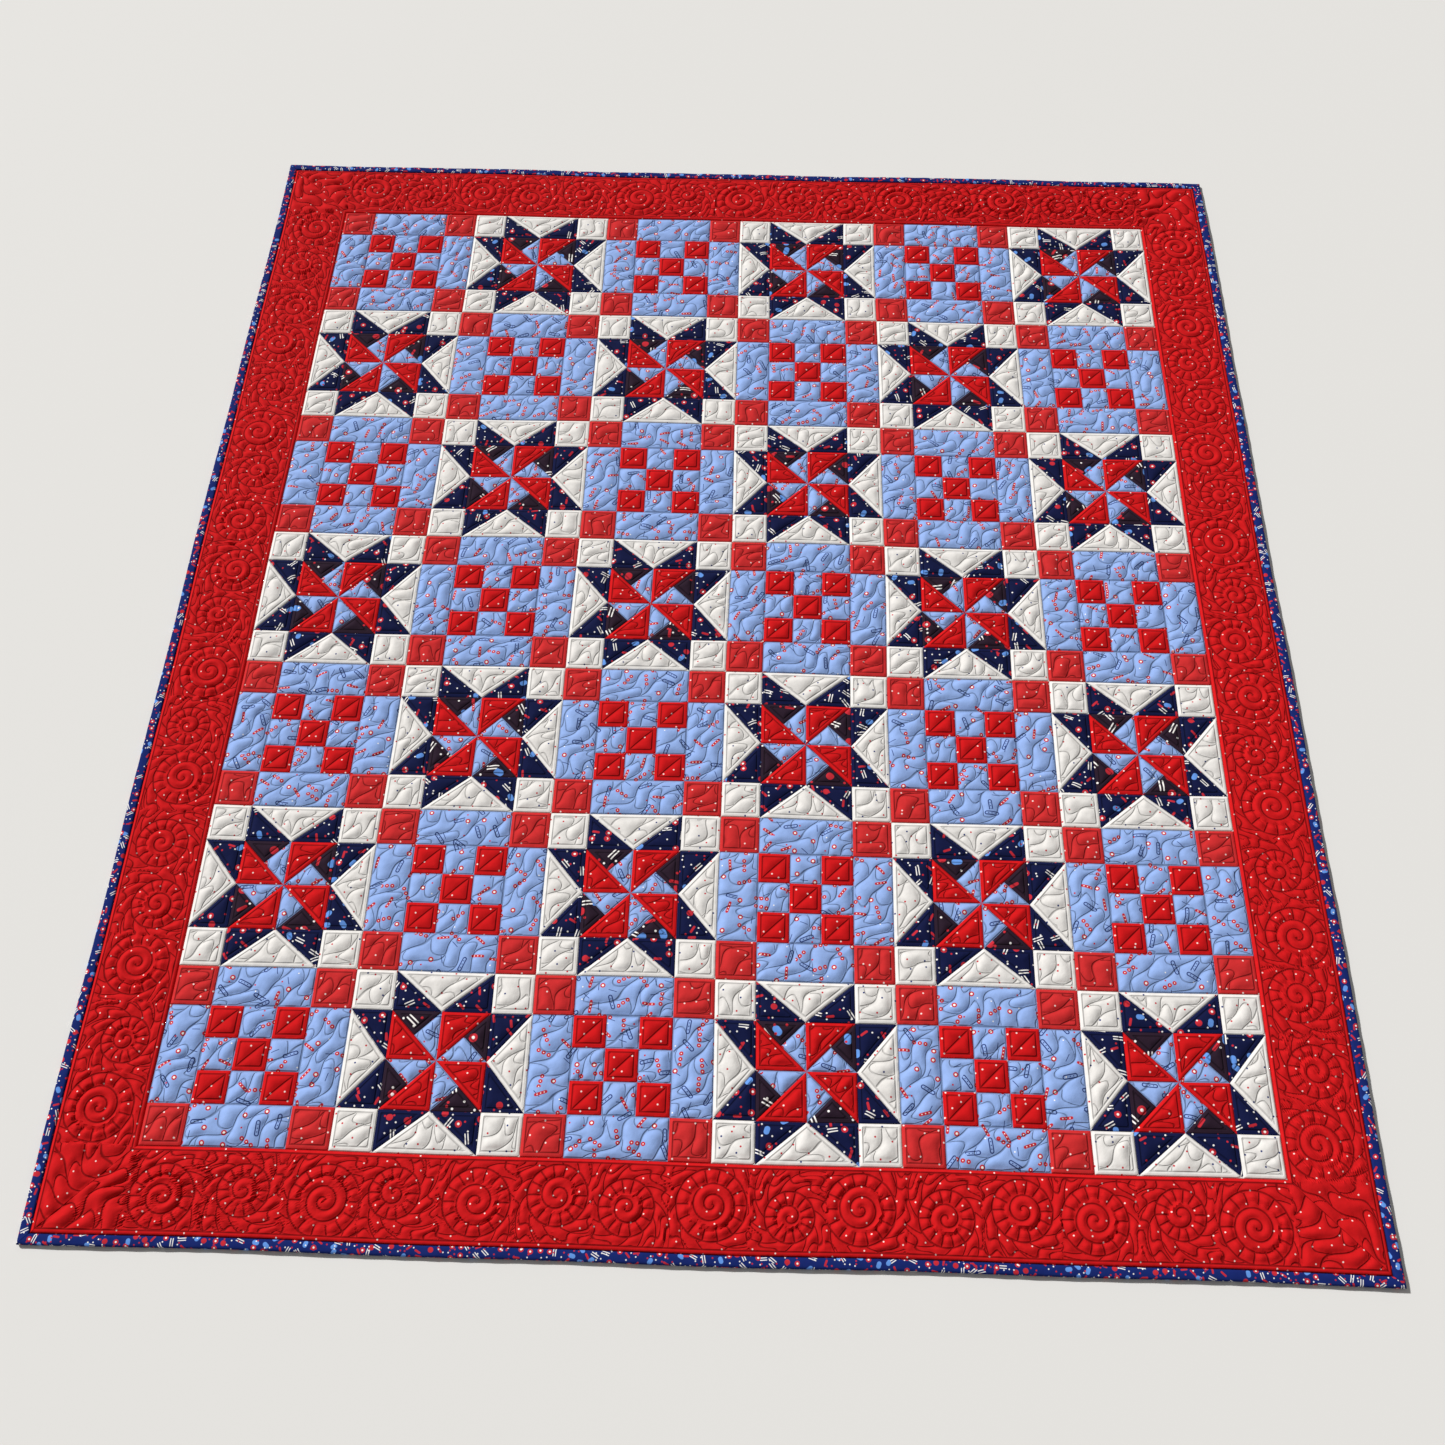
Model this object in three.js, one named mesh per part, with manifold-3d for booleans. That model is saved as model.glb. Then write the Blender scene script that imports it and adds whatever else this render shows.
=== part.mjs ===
// A patchwork star quilt lying flat: a pieced field of star and chain blocks, four mitred border
// strips quilted with scrolls, and a folded binding round the edge.
// Millimetres, +Z up, the origin under the middle of the quilt, +Y along its length.
import * as THREE from "three";
import { mergeVertices } from "three/addons/utils/BufferGeometryUtils.js";
import Module from "manifold-3d";

// Driving dimensions of the patchwork
const COLUMNS = 6; // blocks across the quilt
const ROWS = 7; // blocks along the quilt
const NINE_SQUARE = 50.8; // finished side of a square in the nine-patch
const CORNER_SQUARE = 63.5; // finished side of a block's corner square
const BORDER_WIDTH = 127; // from the field's seam to the binding's seam
const BINDING_WIDTH = 16; // how far the binding reaches past its seam

// Driving dimensions of the padding
const SEAM_HEIGHT = 5.5; // thickness where the layers are stitched down
const LOFT = 4; // how far a puff stands above its stitching
const UNEVEN = 0.16; // largest share by which the loft wanders over the quilt
const UNEVEN_ACROSS = 190; // length over which the loft wanders across the quilt
const UNEVEN_ALONG = 146; // length over which it wanders along the quilt
const UNEVEN_SWAY = 0.7; // how far the waves across sway from a straight line
const SHOULDER_SHARE = 0.3; // where a puff's shoulder is, from its seam to its middle
const SHOULDER_LOFT = 0.8; // height of the shoulder, as a share of the loft
const SMALL_PATCH_AREA = 2500; // a patch under this, in square millimetres, has no shoulder

// Driving dimensions of the scrolls in the border
const SCROLL_SPACING = 110; // about how far apart the scrolls' hearts are along a border
const SCROLL_RADIUS = 46; // crown of a scroll's outer arm
const SCROLL_PITCH = 26; // from one turn of the scroll's stitching to the next
const SCROLL_SECTORS = 10; // straight steps in one turn
const SCROLL_START = Math.PI / 4; // bearing at which the spiral leaves its heart
const SCROLL_LEAST_STEP = SCROLL_PITCH / 4; // least room beside the heart and the outer crown

// Driving dimensions of the binding and the joints between pieces
const BINDING_CLOTH = 1.2; // folded double cloth of the binding
const TONGUE_HEIGHT = 3.6; // pressed edge of the quilt inside the binding
const EDGE_STEPS = 6; // straight steps round the binding's edge
const GAP = 0.3; // between neighbouring pieces
const OVERLAP = 1; // how far the tongue is sunk into its border strip

const CENTRE = 3 * NINE_SQUARE;
const BLOCK = CENTRE + 2 * CORNER_SQUARE;
const FIELD_WIDTH = COLUMNS * BLOCK;
const FIELD_LENGTH = ROWS * BLOCK;
const BINDING_HEIGHT = TONGUE_HEIGHT + 2 * (BINDING_CLOTH + GAP);
const TONGUE_REACH = BINDING_WIDTH - BINDING_HEIGHT / 2;

const PATCHWORK_BLUE = 0x8ea6dc; // the pieced field seen as a whole
const PIN_DOT_RED = 0xc4262a;
const NAVY_PRINT = 0x1c2a63;

const wasm = await Module();
wasm.setup();

const at = (x, y) => new THREE.Vector2(x, y);
const raise = (point, height) => new THREE.Vector3(point.x, point.y, height);
const micrometres = (length) => Math.round(length * 1000);

// The loft at a place: the padding is a little fuller here and thinner there, by the mean of a wave
// across the quilt and one along it.
function loftAt(point) {
  const sway = UNEVEN_SWAY * Math.sin(point.y / UNEVEN_ACROSS);
  const across = Math.sin(point.x / UNEVEN_ACROSS + sway);
  const along = Math.cos(point.y / UNEVEN_ALONG);
  return LOFT * (1 + (UNEVEN * (across + along)) / 2);
}

// The centre of area of a flat polygon.
function middleOf(polygon) {
  const middle = at(0, 0);
  let twiceArea = 0;
  polygon.forEach((p, i) => {
    const q = polygon[(i + 1) % polygon.length];
    const part = p.cross(q);
    twiceArea += part;
    middle.addScaledVector(p.clone().add(q), part / 3);
  });
  return middle.divideScalar(twiceArea);
}

// A patch as a puff: stitched down all round, up over a shoulder, to a crown in the middle.
function puff(polygon) {
  const middle = middleOf(polygon);
  const loft = loftAt(middle);
  const crown = raise(middle, SEAM_HEIGHT + loft);
  const rim = polygon.map((p) => raise(p, SEAM_HEIGHT));
  const hasShoulder = THREE.ShapeUtils.area(polygon) > SMALL_PATCH_AREA;
  const shoulder = polygon.map((p) =>
    raise(p.clone().lerp(middle, SHOULDER_SHARE), SEAM_HEIGHT + SHOULDER_LOFT * loft),
  );
  const top = hasShoulder ? shoulder : rim;
  const triangles = [];
  polygon.forEach((p, i) => {
    const j = (i + 1) % polygon.length;
    if (hasShoulder) {
      triangles.push([rim[i], rim[j], shoulder[j]], [rim[i], shoulder[j], shoulder[i]]);
    }
    triangles.push([top[i], top[j], crown]);
  });
  return triangles;
}

// Lines of a block: its edges, the sides of its centre, and the lines between nine-patch squares.
const LOW = CORNER_SQUARE;
const HIGH = CORNER_SQUARE + CENTRE;
const HALF = BLOCK / 2;
const THIRDS = [LOW + NINE_SQUARE, LOW + 2 * NINE_SQUARE];

const rectangle = (x0, y0, x1, y1) => [at(x0, y0), at(x1, y0), at(x1, y1), at(x0, y1)];

// The same patches on all four sides of a block, turned a quarter each time.
function fourTurns(patches) {
  const pivot = at(HALF, HALF);
  return [0, 1, 2, 3].flatMap((turn) =>
    patches.map((patch) => patch.map((p) => p.clone().rotateAround(pivot, (turn * Math.PI) / 2))),
  );
}

// A chain block: corner squares and side strips round a nine-patch.
function chainBlock() {
  const seamsMet = THIRDS.map((x) => at(x, LOW)).reverse();
  const strip = [at(LOW, 0), at(HIGH, 0), at(HIGH, LOW), ...seamsMet, at(LOW, LOW)];
  const patches = fourTurns([rectangle(0, 0, LOW, LOW), strip]);
  for (let i = 0; i < 3; i++) {
    for (let j = 0; j < 3; j++) {
      const x = LOW + i * NINE_SQUARE;
      const y = LOW + j * NINE_SQUARE;
      patches.push(rectangle(x, y, x + NINE_SQUARE, y + NINE_SQUARE));
    }
  }
  return patches;
}

// A star block: corner squares, flying geese that make the eight points, and a pinwheel of split
// squares.
function starBlock() {
  const quarter = (LOW + HALF) / 2;
  return fourTurns([
    rectangle(0, 0, LOW, LOW),
    [at(LOW, 0), at(HIGH, 0), at(HALF, LOW)],
    [at(LOW, 0), at(HALF, LOW), at(LOW, LOW)],
    [at(HIGH, 0), at(HIGH, LOW), at(HALF, LOW)],
    [at(LOW, LOW), at(HALF, LOW), at(HALF, HALF), at(quarter, quarter)],
    [at(LOW, HALF), at(LOW, LOW), at(quarter, quarter)],
    [at(HALF, HALF), at(LOW, HALF), at(quarter, quarter)],
  ]);
}

// The upper face of the field, block by block; the blocks alternate, with a chain block at the far
// left.
function fieldFace() {
  const triangles = [];
  const [chain, star] = [chainBlock(), starBlock()];
  for (let column = 0; column < COLUMNS; column++) {
    for (let row = 0; row < ROWS; row++) {
      const place = at(column * BLOCK - FIELD_WIDTH / 2, FIELD_LENGTH / 2 - (row + 1) * BLOCK);
      const patches = (column + row) % 2 ? star : chain;
      patches.forEach((patch) => triangles.push(...puff(patch.map((p) => p.clone().add(place)))));
    }
  }
  return triangles;
}

// Triangles between two rows of points that start and end side by side, ordered by a growing measure.
function zip(rowA, rowB, measure) {
  const triangles = [];
  let a = 0;
  let b = 0;
  while (a < rowA.length - 1 || b < rowB.length - 1) {
    const nextA = a < rowA.length - 1 ? measure(rowA[a + 1]) : Infinity;
    const nextB = b < rowB.length - 1 ? measure(rowB[b + 1]) : Infinity;
    if (nextA <= nextB) triangles.push([rowA[a], rowA[++a], rowB[b]]);
    else triangles.push([rowA[a], rowB[b], rowB[++b]]);
  }
  return triangles.filter(([p, q, r]) => p !== q && q !== r && r !== p);
}

// One scroll: a spiral line of stitching between spiral crowns, out to a round crown and a stitched
// frame. The frame is the cell's outline, anticlockwise; hand is 1 or -1 for the way the spiral winds.
function scroll(frame, hand) {
  const middle = middleOf(frame);
  const loft = loftAt(middle);
  const heart = raise(middle, SEAM_HEIGHT);
  const arms = [];
  for (let sector = 0; sector < SCROLL_SECTORS; sector++) {
    const turn = sector / SCROLL_SECTORS;
    const angle = 2 * Math.PI * turn * hand + SCROLL_START;
    const point = (radius, height) =>
      new THREE.Vector3(
        middle.x + radius * Math.cos(angle),
        middle.y + radius * Math.sin(angle),
        SEAM_HEIGHT + height,
      );
    const arm = [heart];
    for (let step = 0; ; step++) {
      const radius = (SCROLL_PITCH / 2) * (step + 2 * turn);
      if (radius > SCROLL_RADIUS - SCROLL_LEAST_STEP) break;
      if (radius > SCROLL_LEAST_STEP) arm.push(point(radius, step % 2 ? loft : 0));
    }
    arm.push(point(SCROLL_RADIUS, loft));
    arms.push(arm);
  }
  const fromHeart = (p) => Math.hypot(p.x - middle.x, p.y - middle.y);
  const triangles = arms.flatMap((arm, i) => zip(arm, arms[(i + 1) % arms.length], fromHeart));

  const bearing = (p) => Math.atan2(p.y - middle.y, p.x - middle.x);
  const ringFrom = (points) => {
    const ring = [...points].sort((p, q) => bearing(p) - bearing(q));
    return [...ring, ring[0]];
  };
  const crownRing = ringFrom(arms.map((arm) => arm[arm.length - 1]));
  const frameRing = ringFrom(frame.map((p) => raise(p, SEAM_HEIGHT)));
  const onward = (ring) => (p) => (ring.indexOf(p) === 0 ? Math.PI : bearing(p));
  const measure = (p) => (crownRing.includes(p) ? onward(crownRing)(p) : onward(frameRing)(p));
  return [...triangles, ...zip(crownRing, frameRing, measure)];
}

// The upper face of a border strip along X, its field seam on y = GAP, with mitred ends: a row of
// framed scrolls, and a puffed triangle at each mitre.
function borderFace(innerLength) {
  const cells = Math.round(innerLength / SCROLL_SPACING);
  const cellLength = innerLength / cells;
  const [near, far] = [GAP, BORDER_WIDTH - GAP];
  const middle = (near + far) / 2;
  const triangles = [];
  for (let cell = 0; cell < cells; cell++) {
    const x0 = cell * cellLength - innerLength / 2;
    const x1 = x0 + cellLength;
    const xm = (x0 + x1) / 2;
    const frame = [
      [x0, near],
      [xm, near],
      [x1, near],
      [x1, middle],
      [x1, far],
      [xm, far],
      [x0, far],
      [x0, middle],
    ].map(([x, y]) => at(x, y));
    triangles.push(...scroll(frame, cell % 2 ? 1 : -1));
  }
  for (const side of [1, -1]) {
    const x = (side * innerLength) / 2;
    const mitre = [at(x, near), at(x + side * (far - near), far), at(x, far), at(x, middle)];
    triangles.push(...puff(side > 0 ? mitre : mitre.reverse()));
  }
  return triangles;
}

// A closed sheet from its upper face: walls from the face's edge down to a flat underside on z = 0.
function sheetUnder(face) {
  const places = [];
  const numbers = new Map();
  const numberOf = (p) => {
    const key = `${micrometres(p.x)} ${micrometres(p.y)}`;
    if (!numbers.has(key)) numbers.set(key, places.push(p) - 1);
    return numbers.get(key);
  };
  const upper = face.map((triangle) => {
    const [a, b, c] = triangle.map(numberOf);
    const [p, q, r] = triangle;
    const leftHand = (q.x - p.x) * (r.y - p.y) - (q.y - p.y) * (r.x - p.x) > 0;
    return leftHand ? [a, b, c] : [a, c, b];
  });
  const sides = new Set(upper.flatMap(([a, b, c]) => [`${a} ${b}`, `${b} ${c}`, `${c} ${a}`]));
  const next = new Map();
  for (const side of sides) {
    const [a, b] = side.split(" ").map(Number);
    if (!sides.has(`${b} ${a}`)) next.set(a, b);
  }
  const edge = [next.keys().next().value];
  while (next.get(edge[edge.length - 1]) !== edge[0]) edge.push(next.get(edge[edge.length - 1]));

  const under = new Map(edge.map((i) => [i, places.push(raise(places[i], 0)) - 1]));
  const walls = edge.flatMap((a, i) => {
    const b = edge[(i + 1) % edge.length];
    return [
      [a, under.get(a), under.get(b)],
      [a, under.get(b), b],
    ];
  });
  const outline = edge.map((i) => at(places[i].x, places[i].y));
  const floor = THREE.ShapeUtils.triangulateShape(outline, []).map(([a, b, c]) =>
    [a, c, b].map((i) => under.get(edge[i])),
  );
  const geometry = new THREE.BufferGeometry().setFromPoints(places);
  return geometry.setIndex([...upper, ...walls, ...floor].flat());
}

// A section carried along X and mitred at both ends: section points are (distance past the binding's
// seam, height), anticlockwise, and the piece grows longer the further out a point lies.
function mitredLength(section, seamLength) {
  const count = section.length;
  const places = [-1, 1].flatMap((side) =>
    section.map((p) => new THREE.Vector3(side * (seamLength / 2 + p.x - GAP), p.x, p.y)),
  );
  const cap = THREE.ShapeUtils.triangulateShape(section, []);
  const faces = cap.flatMap(([a, b, c]) => [
    [a, c, b],
    [a + count, b + count, c + count],
  ]);
  section.forEach((p, i) => {
    const j = (i + 1) % count;
    faces.push([i, j, j + count], [i, j + count, i + count]);
  });
  return new THREE.BufferGeometry().setFromPoints(places).setIndex(faces.flat());
}

// The binding's section: a lip on the underside, round the edge, and a lip on the face.
function bindingSection() {
  const round = BINDING_HEIGHT / 2;
  const outside = [at(0, 0)];
  for (let step = 0; step <= EDGE_STEPS; step++) {
    const angle = (step / EDGE_STEPS - 0.5) * Math.PI;
    outside.push(at(TONGUE_REACH + round * Math.cos(angle), round + round * Math.sin(angle)));
  }
  const foldedEdge = [
    at(BINDING_CLOTH / 2, BINDING_HEIGHT),
    at(0, BINDING_HEIGHT - BINDING_CLOTH / 2),
  ];
  const inside = [
    at(0, BINDING_HEIGHT - BINDING_CLOTH),
    at(TONGUE_REACH, BINDING_HEIGHT - BINDING_CLOTH),
    at(TONGUE_REACH, BINDING_CLOTH),
    at(0, BINDING_CLOTH),
  ];
  return [...outside, ...foldedEdge, ...inside];
}

// The pressed edge of a border strip, which lies inside the binding.
function tongueSection() {
  const low = BINDING_CLOTH + GAP;
  return rectangle(-GAP - OVERLAP, low, TONGUE_REACH - GAP, low + TONGUE_HEIGHT);
}

function solidOf(geometry) {
  const bare = new THREE.BufferGeometry().setAttribute("position", geometry.getAttribute("position"));
  const merged = mergeVertices(bare.setIndex(geometry.index));
  return new wasm.Manifold(
    new wasm.Mesh({
      numProp: 3,
      vertProperties: merged.getAttribute("position").array,
      triVerts: new Uint32Array(merged.index.array),
    }),
  );
}

function geometryOf(solid) {
  const mesh = solid.getMesh();
  const geometry = new THREE.BufferGeometry();
  geometry.setAttribute("position", new THREE.BufferAttribute(mesh.vertProperties, 3));
  return geometry.setIndex(new THREE.BufferAttribute(mesh.triVerts, 1));
}

// A border strip: the quilted strip and the pressed edge that the binding covers.
function borderStrip(innerLength) {
  const tongue = mitredLength(tongueSection(), innerLength + 2 * BORDER_WIDTH);
  tongue.translate(0, BORDER_WIDTH, 0);
  return geometryOf(solidOf(sheetUnder(borderFace(innerLength))).add(solidOf(tongue)));
}

const cloth = (color) => new THREE.MeshStandardMaterial({ color, roughness: 0.9, metalness: 0 });

function piece(name, geometry, material) {
  geometry.computeVertexNormals();
  const mesh = new THREE.Mesh(geometry, material);
  mesh.name = name;
  return mesh;
}

const quilt = new THREE.Group();
quilt.add(piece("quilt_field", sheetUnder(fieldFace()), cloth(PATCHWORK_BLUE)));

// The sides, each turned so that its strip's +Y points away from the field.
const SIDES = [
  { side: "top", turn: 0, seam: FIELD_WIDTH, away: FIELD_LENGTH / 2 },
  { side: "left", turn: 1, seam: FIELD_LENGTH, away: FIELD_WIDTH / 2 },
  { side: "bottom", turn: 2, seam: FIELD_WIDTH, away: FIELD_LENGTH / 2 },
  { side: "right", turn: 3, seam: FIELD_LENGTH, away: FIELD_WIDTH / 2 },
];
for (const { side, turn, seam, away } of SIDES) {
  const edge = new THREE.Group();
  edge.rotation.z = (turn * Math.PI) / 2;
  const border = piece(`border_${side}`, borderStrip(seam), cloth(PIN_DOT_RED));
  border.position.y = away;
  const folded = mitredLength(bindingSection(), seam + 2 * BORDER_WIDTH);
  const binding = piece(`binding_${side}`, folded, cloth(NAVY_PRINT));
  binding.position.y = away + BORDER_WIDTH;
  edge.add(border, binding);
  quilt.add(edge);
}

export default quilt;
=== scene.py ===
"""Star quilt blanket: pieced rows of star and chain blocks, scroll-quilted borders and a folded binding.

All lengths are metres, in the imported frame: +Z up out of the face, +Y towards the quilt's top edge.
"""

import math

import bpy
import numpy as np
from bpy.props import FloatProperty, FloatVectorProperty, IntProperty, PointerProperty
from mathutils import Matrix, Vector


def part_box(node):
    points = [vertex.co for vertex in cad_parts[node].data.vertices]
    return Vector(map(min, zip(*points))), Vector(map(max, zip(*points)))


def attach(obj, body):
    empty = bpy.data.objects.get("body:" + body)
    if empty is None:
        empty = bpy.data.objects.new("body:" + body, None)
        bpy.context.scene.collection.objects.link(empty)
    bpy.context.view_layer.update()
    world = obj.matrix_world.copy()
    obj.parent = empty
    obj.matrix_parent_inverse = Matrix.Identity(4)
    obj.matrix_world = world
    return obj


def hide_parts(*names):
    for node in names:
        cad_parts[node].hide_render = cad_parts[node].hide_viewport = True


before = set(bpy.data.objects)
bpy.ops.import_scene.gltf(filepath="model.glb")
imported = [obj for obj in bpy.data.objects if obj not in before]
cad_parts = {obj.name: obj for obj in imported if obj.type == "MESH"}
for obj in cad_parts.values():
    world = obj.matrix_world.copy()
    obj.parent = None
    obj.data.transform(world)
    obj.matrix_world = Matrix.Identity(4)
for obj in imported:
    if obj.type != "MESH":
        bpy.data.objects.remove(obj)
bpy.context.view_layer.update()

bl_info = {
    "name": "Star Quilt Blanket",
    "version": (1, 0, 0),
    "blender": (4, 5, 0),
    "location": "View3D > Sidebar > Quilt",
    "description": "Builds a patchwork star quilt: pieced rows, quilted borders, folded binding and stage",
    "category": "Object",
}

MM = 0.001

# The patchwork is drafted in units of a 22nd of a block, measured from the block's centre.
COLUMNS = 6
ROWS = 7
BLOCK_UNITS = 22
EDGE = BLOCK_UNITS / 2  # from the block's centre to its edge
CORE = 6  # from the block's centre to its corner squares
NINE = 4  # side of a nine-patch square
SIDE = EDGE - CORE  # width of a corner square or side strip
CELLS_PER_UNIT = 4  # mesh cells along a unit
BLOCK_CELLS = BLOCK_UNITS * CELLS_PER_UNIT
ROOT2 = math.sqrt(2)
SLANT = math.hypot(1 / CORE, 1 / SIDE)  # turns a flying goose's slant equation into a distance

FIELD_LOW, FIELD_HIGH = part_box("quilt_field")
BLOCK = (FIELD_HIGH.x - FIELD_LOW.x) / COLUMNS
UNIT = BLOCK / BLOCK_UNITS
CELL = UNIT / CELLS_PER_UNIT
BINDING_LOW, BINDING_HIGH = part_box("binding_top")
BORDER_WIDTH = BINDING_LOW.y - FIELD_HIGH.y
BINDING_WIDTH = BINDING_HIGH.y - BINDING_LOW.y
BINDING_HEIGHT = BINDING_HIGH.z - BINDING_LOW.z
SEAM_GAP = 0.3 * MM  # between pieces that are sewn to each other
WALL_TURN = math.radians(55)  # faces that meet at more than this have an edge between them

# The sides of the quilt: name, quarter turns from the top, seam length, distance from the middle.
SIDES = [
    ("top", 0, FIELD_HIGH.x - FIELD_LOW.x, FIELD_HIGH.y),
    ("left", 1, FIELD_HIGH.y - FIELD_LOW.y, FIELD_HIGH.x),
    ("bottom", 2, FIELD_HIGH.x - FIELD_LOW.x, FIELD_HIGH.y),
    ("right", 3, FIELD_HIGH.y - FIELD_LOW.y, FIELD_HIGH.x),
]

WHITE, RED, MUTED, BLUE, NAVY, NIGHT, BACKING = range(7)  # the fabrics' material slots in a row
BORDER = 0  # the border cotton's material slot in a border strip
NO_LINE_HERE = (-1.0, 0.0, 1000.0)  # half a turn from a line, and each radian a metre
GOLDEN = 0.618034  # spreads repeated things unevenly without chance

# Waves in which laid-out seams wander, in metres a radian: a long one that swells and fades, and a
# short one that leans.
WANDER_X = {"long": 0.21, "start": 0.6, "swell": 0.47, "short": 0.083, "lean": 0.3}
WANDER_Y = {"long": 0.19, "start": 1.9, "swell": 0.53, "short": 0.077, "lean": -0.26}
SHORT_SHARE = 0.5  # the short wave's size, of the long one's

# The baking map: the face lies above a strip that holds the walls and the back.
FACE_SHARE = 0.95
STRIP_SHARE = 0.04
DEPTH_SHARE = 0.7  # of the strip, for places across the piece, and the rest for heights
BORDER_FOLDS = 8  # lengths of a border strip that lie above each other in the map

# The stage: the quilt seen from its foot, a wide floor, a dim sky and a sun from the upper left.
FLOOR_HALF = 20.0
FLOOR_CORNERS = [(-1, -1), (1, -1), (1, 1), (-1, 1)]
FLOOR_DROP = 0.2 * MM  # keeps the floor clear of the underside
SKY_FILL = 0.24  # strength of the sky as light
SKY_SEEN = 0.78  # strength of the sky to the eye
SUN_STRENGTH = 4.3
SUN_ANGLE = math.radians(4)
SUN_WAY = Vector((0.66, -0.5, -0.62))
CAMERA_PLACE = (0.0334, -1.4826, 2.1951)
CAMERA_WAY = Vector((-0.0148, 0.4936, -0.8696))
CAMERA_LENS = 36.81  # millimetres, as is the sensor
CAMERA_SENSOR = 36.0

# Woven cotton: dull and nearly without gloss. Its threads, about 0.4 mm apart, are drawn three times
# as coarse so that they show. Heights, and widths of the stitching, are millimetres.
SLUB_SIZE = 14 * MM
SLUB_HEIGHT = 0.6
SLUB_RANGE = (0.25, 0.75)  # of the noise
SLUB_SHADES = (0.93, 1.05)  # brightness at the ends of that range
THREAD_SPACING = 1.2 * MM
THREAD_HEIGHT = 0.06
THREAD_JITTER = 0.35
# A crease is bumped down over this half width, and painted shade darkens its colour over the same width.
CREASE_HALF = 2.0
CREASE_DEPTH = 0.9
# A seam's ditch is bumped down over this half width and darkened there by painted shade.
DITCH_HALF = 1.4
DITCH_PAINTED_SHADE = 0.84
# The rim beside a seam gets a painted highlight: its colour is painted paler.
RIM_HIGHLIGHT_RANGE = (0.75, 0.95)  # of the margin, over which the paler rim gives way
MARK_JITTER = 0.85  # how far a print's marks are off a square grid
COTTON_ROUGHNESS = 0.88
COTTON_SPECULAR = 0.08
FLOOR_ROUGHNESS = 0.9

# Numbers of a Map Range node's inputs, and of a Mix node's for colours.
FROM_LOW, FROM_HIGH, TO_LOW, TO_HIGH = 1, 2, 3, 4
MIX_SHARE, MIX_UNDER, MIX_OVER = 0, 6, 7
MIX_RESULT = 2


def linear(hex_colour):
    """An sRGB hex colour as the linear colour that shaders take."""
    channels = [int(hex_colour[i : i + 2], 16) / 255 for i in (1, 3, 5)]
    return [c / 12.92 if c <= 0.04045 else ((c + 0.055) / 1.055) ** 2.4 for c in channels]


def length(name, description, default):
    """A length property in metres."""
    return FloatProperty(
        name=name, description=description, default=default, subtype="DISTANCE", unit="LENGTH"
    )


def colour(name, description, hex_colour):
    """A colour property whose default is an sRGB hex value."""
    return FloatVectorProperty(
        name=name, description=description, default=linear(hex_colour), subtype="COLOR", min=0, max=1
    )


class QuiltPadding(bpy.types.PropertyGroup):
    """Sizes of the padding and the quilting."""

    seam_height: length("Seam height", "Thickness where a seam draws the layers together", 5 * MM)
    loft: length("Loft", "How far a full puff stands above its seams", 6.4 * MM)
    pillow: length("Pillow", "Distance from a seam over which a puff rises", 7 * MM)
    echo: length("Echo", "Distance from a seam to the stitching that follows it", UNIT / 2)
    ditch: length("Ditch", "The same where the stitching lies in the seam's ditch", 0.5 * MM)
    leaf_width: length("Leaf width", "Between the long lines of the leaf quilting", 27 * MM)
    leaf_length: length("Leaf length", "Between the cross lines of the leaf quilting", 44 * MM)
    scroll_spacing: length("Scroll spacing", "Between the hearts of a border's scrolls", 110 * MM)
    scroll_radius: length("Scroll radius", "Outer line of a scroll", 50 * MM)
    scroll_pitch: length("Scroll pitch", "Between the turns of a scroll", 15.5 * MM)
    scroll_ribs: IntProperty(
        name="Scroll ribs", description="Short lines round a scroll's rim", default=14
    )
    feathers: IntProperty(
        name="Feathers", description="Curved lines that run out from a scroll", default=11
    )
    roll_height: length("Roll height", "Thickness of the folded binding", BINDING_HEIGHT + 1.6 * MM)
    drift: length("Drift", "How far seams wander from a straight line", 1.6 * MM)


class QuiltColours(bpy.types.PropertyGroup):
    """Colours of the cottons."""

    cream: colour("Cream", "Ground of the pale pin-dot cotton", "#dcd8d3")
    red: colour("Red", "Ground of the red pin-dot cotton", "#c01316")
    muted_red: colour("Muted red", "Ground of the chain's corner squares", "#c12b2c")
    border_red: colour("Border red", "Ground of the border cotton", "#c21619")
    blue: colour("Blue", "Ground of the light blue print", "#8ea9dc")
    navy: colour("Navy", "Ground of the navy print", "#10163c")
    night: colour("Night", "Ground of the darkest print", "#281a27")
    binding_blue: colour("Binding blue", "Ground of the binding print", "#152566")
    print_white: colour("Print white", "Pale marks of the prints", "#f3efe9")
    print_blush: colour("Print blush", "Pin dots on the red cottons", "#efd6cf")
    print_red: colour("Print red", "Red marks of the prints", "#bd2a35")
    print_navy: colour("Print navy", "Dark marks of the prints", "#27376f")
    print_sky: colour("Print sky", "Light blue marks of the prints", "#5f8fd6")
    muslin: colour("Muslin", "Plain cotton of the back", "#d9d3c6")
    floor: colour("Floor", "The plain pale floor", "#dedcd8")


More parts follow.
